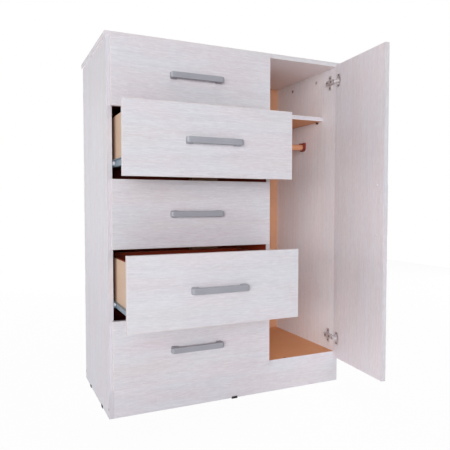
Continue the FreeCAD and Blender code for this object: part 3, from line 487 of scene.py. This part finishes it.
def outline_block():
    """The outline seen from the front: round at the ends, and lower at the front than at the wall."""
    half_depth = 1.5 * HANDLE_REACH
    bpy.ops.mesh.primitive_cube_add(size=1, scale=(HANDLE_LENGTH, 2 * half_depth, HANDLE_HEIGHT))
    block = bpy.context.object
    bpy.ops.object.transform_apply(location=False, rotation=False, scale=True)
    start_editing(block)
    pick("edges", lambda edge: abs(edge.verts[0].co.y - edge.verts[1].co.y) > HANDLE_REACH)
    bpy.ops.mesh.bevel(offset=END_ROUND, segments=9, affect="EDGES")
    for side in (-1, 1):
        pick("verts", lambda vert: vert.co.y * side > 0)
        bpy.ops.transform.resize(value=(1, 1, 1 + side * FRONT_TAPER * half_depth / HANDLE_REACH))
    bpy.ops.object.mode_set(mode="OBJECT")
    return block


def draw_out_feet(bar_back):
    """Draws both ends of the bar back to the wall: straight down the flare, then in to the foot."""
    for x in (-FOOT_INNER, FOOT_INNER):
        bpy.ops.mesh.select_all(action="SELECT")
        bpy.ops.mesh.bisect(plane_co=(x, 0, 0), plane_no=(1, 0, 0))
    for depth in (-FLARE - bar_back, FLARE):
        pick("faces", lambda face: face.normal.y > 0.5 and abs(face.calc_center_median().x) > FOOT_INNER)
        bpy.ops.mesh.extrude_region_move(TRANSFORM_OT_translate={"value": (0, depth, 0)})
    for side in (-1, 1):
        end = side * HANDLE_LENGTH / 2
        pick("verts", lambda vert: abs(vert.co.y) < NEAR and abs(vert.co.x - end) < NEAR)
        bpy.ops.transform.translate(value=(side * (FOOT_OUTER - HANDLE_LENGTH / 2), 0, 0))


def model_handle():
    """The bar lies along X with its feet on y = 0 and reaches towards -Y."""
    bar_back = BAR_DEPTH - HANDLE_REACH
    block = outline_block()
    bpy.ops.mesh.primitive_cube_add(size=1, location=(0, (bar_back - HANDLE_REACH) / 2, 0),
                                    scale=(HANDLE_LENGTH, BAR_DEPTH, 2 * HANDLE_HEIGHT))
    bar = bpy.context.object
    bar.name = "bar_handle"
    bpy.ops.object.transform_apply(location=True, rotation=False, scale=True)
    start_editing(bar)
    draw_out_feet(bar_back)
    pick("edges", lambda edge: upright_at(edge, HANDLE_LENGTH / 2, -HANDLE_REACH))
    bpy.ops.mesh.bevel(offset=BEND, segments=9, affect="EDGES")
    pick("edges", lambda edge: upright_at(edge, FOOT_INNER, bar_back))
    bpy.ops.mesh.bevel(offset=INNER_BEND, segments=5, affect="EDGES")
    bpy.ops.object.mode_set(mode="OBJECT")
    reshape(bar, "outline", "BOOLEAN", operation="INTERSECT", object=block)
    bpy.data.objects.remove(block)
    reshape(bar, "moulded skin", "REMESH", mode="VOXEL", voxel_size=SKIN_GRAIN)
    reshape(bar, "softened edges", "SMOOTH", factor=0.5, iterations=5)
    bpy.ops.object.shade_smooth()
    return bar


def round_head(radius, height):
    """A pan head standing on y = 0 and pointing to +Y."""
    bpy.ops.mesh.primitive_cylinder_add(vertices=32, radius=radius, depth=height,
                                        location=(0, height / 2, 0), rotation=(math.pi / 2, 0, 0))
    head = bpy.context.object
    head.name = "screw_head"
    bpy.ops.object.transform_apply(location=True, rotation=True, scale=True)
    start_editing(head)
    pick("faces", lambda face: face.normal.y > 0.5)
    bpy.ops.mesh.bevel(offset=height * ROUNDING, segments=3, affect="EDGES")
    bpy.ops.object.mode_set(mode="OBJECT")
    return head


def recess_arm(radius, depth, lengthways):
    """One tapered arm of a cross recess, sunk to the given depth under y = 0."""
    long_side, short_side = ARM_LENGTH * radius, ARM_WIDTH * radius
    size = (long_side, 2 * depth, short_side) if lengthways else (short_side, 2 * depth, long_side)
    bpy.ops.mesh.primitive_cube_add(size=1, scale=size)
    arm = bpy.context.object
    bpy.ops.object.transform_apply(location=False, rotation=False, scale=True)
    start_editing(arm)
    pick("faces", lambda face: face.normal.y < -0.5)
    bpy.ops.transform.resize(value=(ARM_END, 1, ARM_END))
    bpy.ops.object.mode_set(mode="OBJECT")
    return arm


def placed_copy(model, name, matrix):
    """A copy of the model with its own mesh, its place in the mesh."""
    piece = model.copy()
    piece.data = model.data.copy()
    piece.data.transform(matrix)
    piece.name = name
    bpy.context.scene.collection.objects.link(piece)
    return piece


def join(pieces, name):
    """Makes one piece of several."""
    bpy.ops.object.select_all(action="DESELECT")
    for piece in pieces:
        piece.select_set(True)
    bpy.context.view_layer.objects.active = pieces[0]
    bpy.ops.object.join()
    pieces[0].name = name
    return pieces[0]


def turned_to(way):
    """Turns +Y to the given way."""
    return Vector(way).to_track_quat("Y", "Z").to_matrix().to_4x4()


def cut_crosses(piece, spots, radius, depth):
    """Cuts a cross into each screw head; a spot is the middle of its face and the way it faces."""
    for lengthways in (True, False):
        arm = recess_arm(radius, depth, lengthways)
        arms = [placed_copy(arm, "arm", Matrix.Translation(middle) @ turned_to(way))
                for middle, way in spots]
        cutter = join(arms, "recess_cutter")
        bpy.context.view_layer.objects.active = piece
        reshape(piece, "recess", "BOOLEAN", operation="DIFFERENCE", object=cutter)
        bpy.data.objects.remove(arm)
        bpy.data.objects.remove(cutter)
    select_only(piece)
    bpy.ops.object.shade_smooth_by_angle(angle=SCREW_ANGLE)


def crossed_head(size, cross, finish):
    """A round screw head with its cross and its finish."""
    radius, height = size
    head = round_head(radius, height)
    cut_crosses(head, [((0, height, 0), (0, 1, 0))], radius, cross)
    head.data.materials.append(finish)
    return head


handle_grey = painted("satin grey handle", HANDLE_GREY, 0.42, 0.0012, 0.00004)
screw_white = painted("white enamelled screw", ENAMEL_WHITE, 0.4, 0.0012, 0.00003)
handle_model = model_handle()
handle_model.data.materials.append(handle_grey)
head_model = crossed_head(SCREW_HEAD, SCREW_CROSS, screw_white)
heads = [placed_copy(head_model, "head", Matrix.Translation((x, BOARD, 0)))
         for x in (-SCREW_SPACING / 2, SCREW_SPACING / 2)]
handle_set = join([placed_copy(handle_model, "set", Matrix())] + heads, "handle_set")

door_place = Matrix.Translation(DOOR_CORNER) @ Matrix.Rotation(DOOR_OPEN, 4, "Z")
on_the_door = Matrix.Translation((HANDLE_INSET - DOOR_WIDTH, -BOARD, HANDLE_RISE))
places = {}
for k in DRAWERS:
    low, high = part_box(f"drawer_{k}_handle")
    middle = ((low[0] + high[0]) / 2, low[1] + HANDLE_REACH, (low[2] + high[2]) / 2)
    places[f"drawer_{k}_handle"] = Matrix.Translation(middle)
places["door_handle"] = door_place @ on_the_door @ Matrix.Rotation(math.pi / 2, 4, "Y")
for node, place in places.items():
    piece = placed_copy(handle_set, node + "_finished", place)
    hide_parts(node)
    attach(piece, body_of(node))
for model in (handle_model, head_model, handle_set):
    bpy.data.objects.remove(model)

# ------------------------------------------------------------------ roller slides
# Bent steel rails in a pale epoxy coat, with white nylon rollers on riveted pins: one at the front
# of each cabinet rail, one at the rear of each drawer rail.

RAIL_COAT = ((130, 147, 159), (120, 137, 150), (104, 121, 134))
NYLON = ((238, 236, 240), (230, 228, 234), (216, 214, 222))
ROLLER_SIDE = 0.04


def loose_pieces(mesh):
    """The separate solids in a CAD mesh, each as the list of its faces."""
    owner = {}

    def root(key):
        while owner[key] != key:
            owner[key] = owner[owner[key]]
            key = owner[key]
        return key

    keys = [tuple(round(c, 6) for c in vertex.co) for vertex in mesh.vertices]
    for key in keys:
        owner.setdefault(key, key)
    for face in mesh.polygons:
        first = root(keys[face.vertices[0]])
        for corner in face.vertices:
            owner[root(keys[corner])] = first
    pieces = {}
    for face in mesh.polygons:
        pieces.setdefault(root(keys[face.vertices[0]]), []).append(face)
    return list(pieces.values())


def corners(mesh, faces, turned=Matrix()):
    """Lowest and highest corner of a solid, seen in a turned frame."""
    points = [turned @ mesh.vertices[i].co for face in faces for i in face.vertices]
    return [Vector([take(point[axis] for point in points) for axis in range(3)]) for take in (min, max)]


rail_coat = painted("pale epoxy coat", RAIL_COAT, 0.35, 0.0016, 0.00005)
nylon = painted("white nylon", NYLON, 0.38, 0.0014, 0.00003)
recoat("cabinet_runners", rail_coat)
recoat("runner_rollers", nylon)
for k in DRAWERS:
    runners = recoat(f"drawer_{k}_runners", rail_coat, nylon)
    for faces in loose_pieces(runners.data):
        low, high = corners(runners.data, faces)
        if max(high - low) < ROLLER_SIDE:
            for face in faces:
                face.material_index = 1

# ------------------------------------------------------------------ screws and cam locks
# Zinc-plated screws with cross recesses; those at the front of the right side and in the floor are dark:
# painted shade. Cam locks are die-cast drums with a cross for the driver, the front row lighter: painted
# light.

ZINC = ((150, 142, 142), (128, 120, 120), (92, 84, 84))
# Lighter zinc for the front cam locks: painted light.
LIT_ZINC = ((206, 196, 196), (190, 180, 180), (150, 140, 140))
# Dark colour for screw heads: painted shade.
SCREW_SHADE = ((74, 58, 62), (62, 48, 52), (44, 33, 36))
HEAD_ROUND = 0.00015
HEAD_CROSS = 0.00045
THICKEST_SCREW = 0.02
ON_THE_HEAD = 1.3
RIGHT_SIDE_X = 0.45
CAM_FACE_X = {"left": -0.482, "divider": 0.159, "right": 0.482}
CAM_Y = (0.06778, 0.26778)
CAM_HIGH, CAM_LOW = 1.3295, 0.170
CAM_RADIUS = 0.0065
CAM_ROUND = 0.0003
CAM_CROSS = 0.002
TO_LEFT, TO_RIGHT = (-1, 0, 0), (1, 0, 0)

zinc = painted("dull zinc", ZINC, 0.38, 0.0016, 0.00004, Metallic=0.7)
# Lighter zinc: painted light.
lit_zinc = painted("zinc painted light", LIT_ZINC, 0.38, 0.0016, 0.00004, Metallic=0.3)
# Dark screw heads: painted shade.
screw_shade = painted("screw painted shade", SCREW_SHADE, 0.4, 0.0014, 0.00004, Metallic=0.4)


def screw_spots(mesh, turned=Matrix()):
    """For each loose screw: the middle of its head's face, the way it faces, the head's radius."""
    spots = []
    back = turned.inverted()
    for faces in loose_pieces(mesh):
        low, high = corners(mesh, faces, turned)
        size = high - low
        axis = max(range(3), key=lambda i: size[i])
        if sorted(size)[1] > THICKEST_SCREW:
            continue
        across = (axis + 1) % 3
        points = [turned @ mesh.vertices[i].co for face in faces for i in face.vertices]
        widths = []
        for end in (low, high):
            rim = [point[across] for point in points if abs(point[axis] - end[axis]) < NEAR]
            widths.append(max(rim) - min(rim))
        middle = (low + high) / 2
        end, sign = (low, -1) if widths[0] > widths[1] else (high, 1)
        middle[axis] = end[axis]
        way = Vector([sign if i == axis else 0 for i in range(3)])
        spots.append((back @ middle, back.to_3x3() @ way, max(widths) / 2))
    return spots


def cut_all(piece, spots, depth):
    """Cuts the crosses, one size of head after the other."""
    for size in sorted({round(radius, 4) for middle, way, radius in spots}):
        alike = [(middle, way) for middle, way, radius in spots if round(radius, 4) == size]
        cut_crosses(piece, alike, size, depth)


def shade_screws(piece, spots):
    """Gives the screws at these spots their dark colour: painted shade."""

    def on_a_screw(face):
        rim = [piece.data.vertices[i].co for i in face.vertices]
        return any(all((point - middle).length < ON_THE_HEAD * radius for point in rim)
                   for middle, way, radius in spots)

    add_coat(piece, screw_shade, [face for face in piece.data.polygons if on_a_screw(face)])


screws = sanded("cabinet_screws", HEAD_ROUND, 1)
spots = screw_spots(frame["nodes"]["cabinet_screws"].data)
cut_all(screws, spots, HEAD_CROSS)
dress(screws, zinc)
front_right = [spot for spot in spots if spot[0].x > RIGHT_SIDE_X and spot[0].y < 0.0]
in_the_floor = [spot for spot in spots if spot[1].z > 0.5]
# The screws at the front of the right side and in the floor are dark: painted shade.
shade_screws(screws, front_right + in_the_floor)

cams = sanded("cam_locks", CAM_ROUND, 1)
cam_spots = [((x, y, CAM_HIGH), TO_LEFT if side == "right" else TO_RIGHT)
             for side, x in CAM_FACE_X.items() for y in CAM_Y]
cam_spots += [((CAM_FACE_X["divider"], y, CAM_LOW), TO_RIGHT) for y in CAM_Y]
cut_crosses(cams, cam_spots, CAM_RADIUS, CAM_CROSS)
dress(cams, zinc)
# The front row of cam locks is in the lighter zinc: painted light.
add_coat(cams, lit_zinc, [face for face in cams.data.polygons if face.center.y < sum(CAM_Y) / 2])

# ------------------------------------------------------------------ hinges
# Nickel-plated pressed steel: a winged plate, an arm clipped over it with two adjusting screws, a
# folding link, and a cup whose flange is screwed to the door.

NICKEL = ((214, 206, 208), (200, 191, 193), (168, 158, 160))
PRESSED_ROUND = 0.0004
ARM_FACE_X = 0.468
ADJUSTERS_Y = (-0.060, -0.034)
HINGES_Z = (1.3045, 0.196)
ADJUSTER = (0.0034, 0.0009)
ADJUSTER_CROSS = 0.0006

nickel = painted("nickel plate", NICKEL, 0.34, 0.003, 0.00003, Metallic=0.35)
for node in ("hinge_plates", "hinge_arms", "hinge_links"):
    dress(sanded(node, PRESSED_ROUND), nickel)

cups = sanded("hinge_cups", HEAD_ROUND, 1)
spots = screw_spots(frame["nodes"]["hinge_cups"].data, door_place.inverted())
cut_all(cups, spots, HEAD_CROSS)
dress(cups, nickel)
# The cup's screws are dark: painted shade.
shade_screws(cups, spots)

# The adjusting screws are dark: painted shade.
adjuster = crossed_head(ADJUSTER, ADJUSTER_CROSS, screw_shade)
heads = [placed_copy(adjuster, "head", Matrix.Translation((ARM_FACE_X, y, z)) @ turned_to(TO_LEFT))
         for y in ADJUSTERS_Y for z in HINGES_Z]
bpy.data.objects.remove(adjuster)
adjusters = join(heads, "hinge_adjusters")
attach(adjusters, body_of("hinge_arms"))

# ------------------------------------------------------------------ rod, sockets, pins and shoes
# A brown coated tube dropped in two red-brown sockets that are screwed to the walls; dark pins
# pegged into the walls under the shelf; black shoes clipped on the lower edges.

TUBE_BROWN = ((228, 166, 130), (214, 150, 116), (190, 126, 92))
SOCKET_BROWN = ((142, 46, 24), (124, 38, 18), (96, 26, 10))
PIN_BROWN = ((88, 26, 14), (74, 19, 9), (54, 11, 5))
SHOE_BLACK = ((22, 22, 22), (17, 17, 17), (11, 11, 11))

recoat("hanging_rod", painted("brown coated tube", TUBE_BROWN, 0.26, 0.003, 0.00003))
recoat("rod_sockets", painted("red-brown moulding", SOCKET_BROWN, 0.36, 0.0014, 0.00004))
recoat("shelf_pins", painted("dark brown moulding", PIN_BROWN, 0.4, 0.0014, 0.00004))
recoat("glide_shoes", painted("black moulding", SHOE_BLACK, 0.6, 0.0014, 0.00005))

# ------------------------------------------------------------------ studio
# White floor and surroundings; broad soft lamps in front from the left, above, and all around. What
# the camera sees of the floor is nearly all glow, with a faint shadow; the surroundings are white to
# the camera and in reflections, and light the cabinet only a little.

FLOOR_SIDE = 8.4
FLOOR_WHITE = (246, 246, 247)
FLOOR_GLOW = 0.96
AMBIENT = 0.09
AIM_HEIGHT = 0.7

bpy.ops.object.select_all(action="DESELECT")
bpy.ops.mesh.primitive_plane_add(size=FLOOR_SIDE, location=(0, 0, 0))
floor = bpy.context.object
floor.name = "studio_floor"
floor_paint, shader = new_finish("studio white", 0.9, Specular_IOR_Level=0.1)
shader.inputs["Base Color"].default_value = rgb(FLOOR_WHITE)
tree = floor_paint.node_tree
glow = tree.nodes.new("ShaderNodeEmission")
glow.inputs["Strength"].default_value = 1.0
ray = tree.nodes.new("ShaderNodeLightPath")
share = tree.nodes.new("ShaderNodeMath")
share.operation = "MULTIPLY"
share.inputs[1].default_value = FLOOR_GLOW
blend = tree.nodes.new("ShaderNodeMixShader")
tree.links.new(ray.outputs["Is Camera Ray"], share.inputs[0])
tree.links.new(share.outputs[0], blend.inputs["Fac"])
tree.links.new(shader.outputs["BSDF"], blend.inputs[1])
tree.links.new(glow.outputs["Emission"], blend.inputs[2])
tree.links.new(blend.outputs["Shader"], tree.nodes["Material Output"].inputs["Surface"])
floor.data.materials.append(floor_paint)

world = bpy.data.worlds.new("studio")
bpy.context.scene.world = world
world.use_nodes = True
tree = world.node_tree
sky = tree.nodes["Background"]
sky.inputs["Color"].default_value = (1, 1, 1, 1)
ray = tree.nodes.new("ShaderNodeLightPath")
level = tree.nodes.new("ShaderNodeMapRange")
level.inputs["To Min"].default_value = AMBIENT
level.inputs["To Max"].default_value = 1.0
seen = tree.nodes.new("ShaderNodeMath")
seen.operation = "MAXIMUM"
tree.links.new(ray.outputs["Is Camera Ray"], seen.inputs[0])
tree.links.new(ray.outputs["Is Glossy Ray"], seen.inputs[1])
tree.links.new(seen.outputs[0], level.inputs["Value"])
tree.links.new(level.outputs["Result"], sky.inputs["Strength"])


def soft_lamp(name, at, width, height, watts, towards=(0, 0, AIM_HEIGHT)):
    """A broad lamp, turned to the middle of the cabinet unless it is given another aim."""
    lamp = bpy.data.lights.new(name, "AREA")
    lamp.shape = "RECTANGLE"
    lamp.size = width
    lamp.size_y = height
    lamp.energy = watts
    holder = bpy.data.objects.new(name, lamp)
    bpy.context.scene.collection.objects.link(holder)
    holder.visible_camera = False
    holder.location = at
    holder.rotation_euler = (Vector(towards) - Vector(at)).to_track_quat("-Z", "Y").to_euler()


soft_lamp("front left", (-7.0, -6.4, 1.2), 5.4, 1.9, 226)
soft_lamp("front high", (-3.8, -6.7, 2.8), 4.0, 2.4, 148)
soft_lamp("front", (-2.8, -6.2, 1.0), 1.9, 1.6, 140)
soft_lamp("overhead", (0, -0.8, 4.5), 2.6, 2.6, 58, towards=(0, -0.79, 0))
soft_lamp("left", (-4.5, 0.4, 0.8), 2.0, 1.5, 42)
soft_lamp("right", (4.5, 0.6, 1.2), 2.6, 2.0, 90)
soft_lamp("back", (0.5, 4.5, 1.2), 2.6, 2.0, 90)

# ------------------------------------------------------------------ camera
# It stands in front and to the left, a little above half the cabinet's height, turned to the right
# and slightly down, and sees the whole cabinet with its open door.

CAMERA_AT = (-0.87425, -1.88656, 0.77741)
CAMERA_TILT = math.radians(87.66)
CAMERA_TURN = math.radians(-24.69)
FOCAL_LENGTH = 40.687
SENSOR_WIDTH = 36

lens = bpy.data.cameras.new("camera")
lens.lens = FOCAL_LENGTH
lens.sensor_width = SENSOR_WIDTH
camera = bpy.data.objects.new("camera", lens)
camera.location = CAMERA_AT
camera.rotation_euler = (CAMERA_TILT, 0, CAMERA_TURN)
bpy.context.scene.collection.objects.link(camera)
bpy.context.scene.camera = camera
bpy.context.scene.view_settings.view_transform = "Standard"
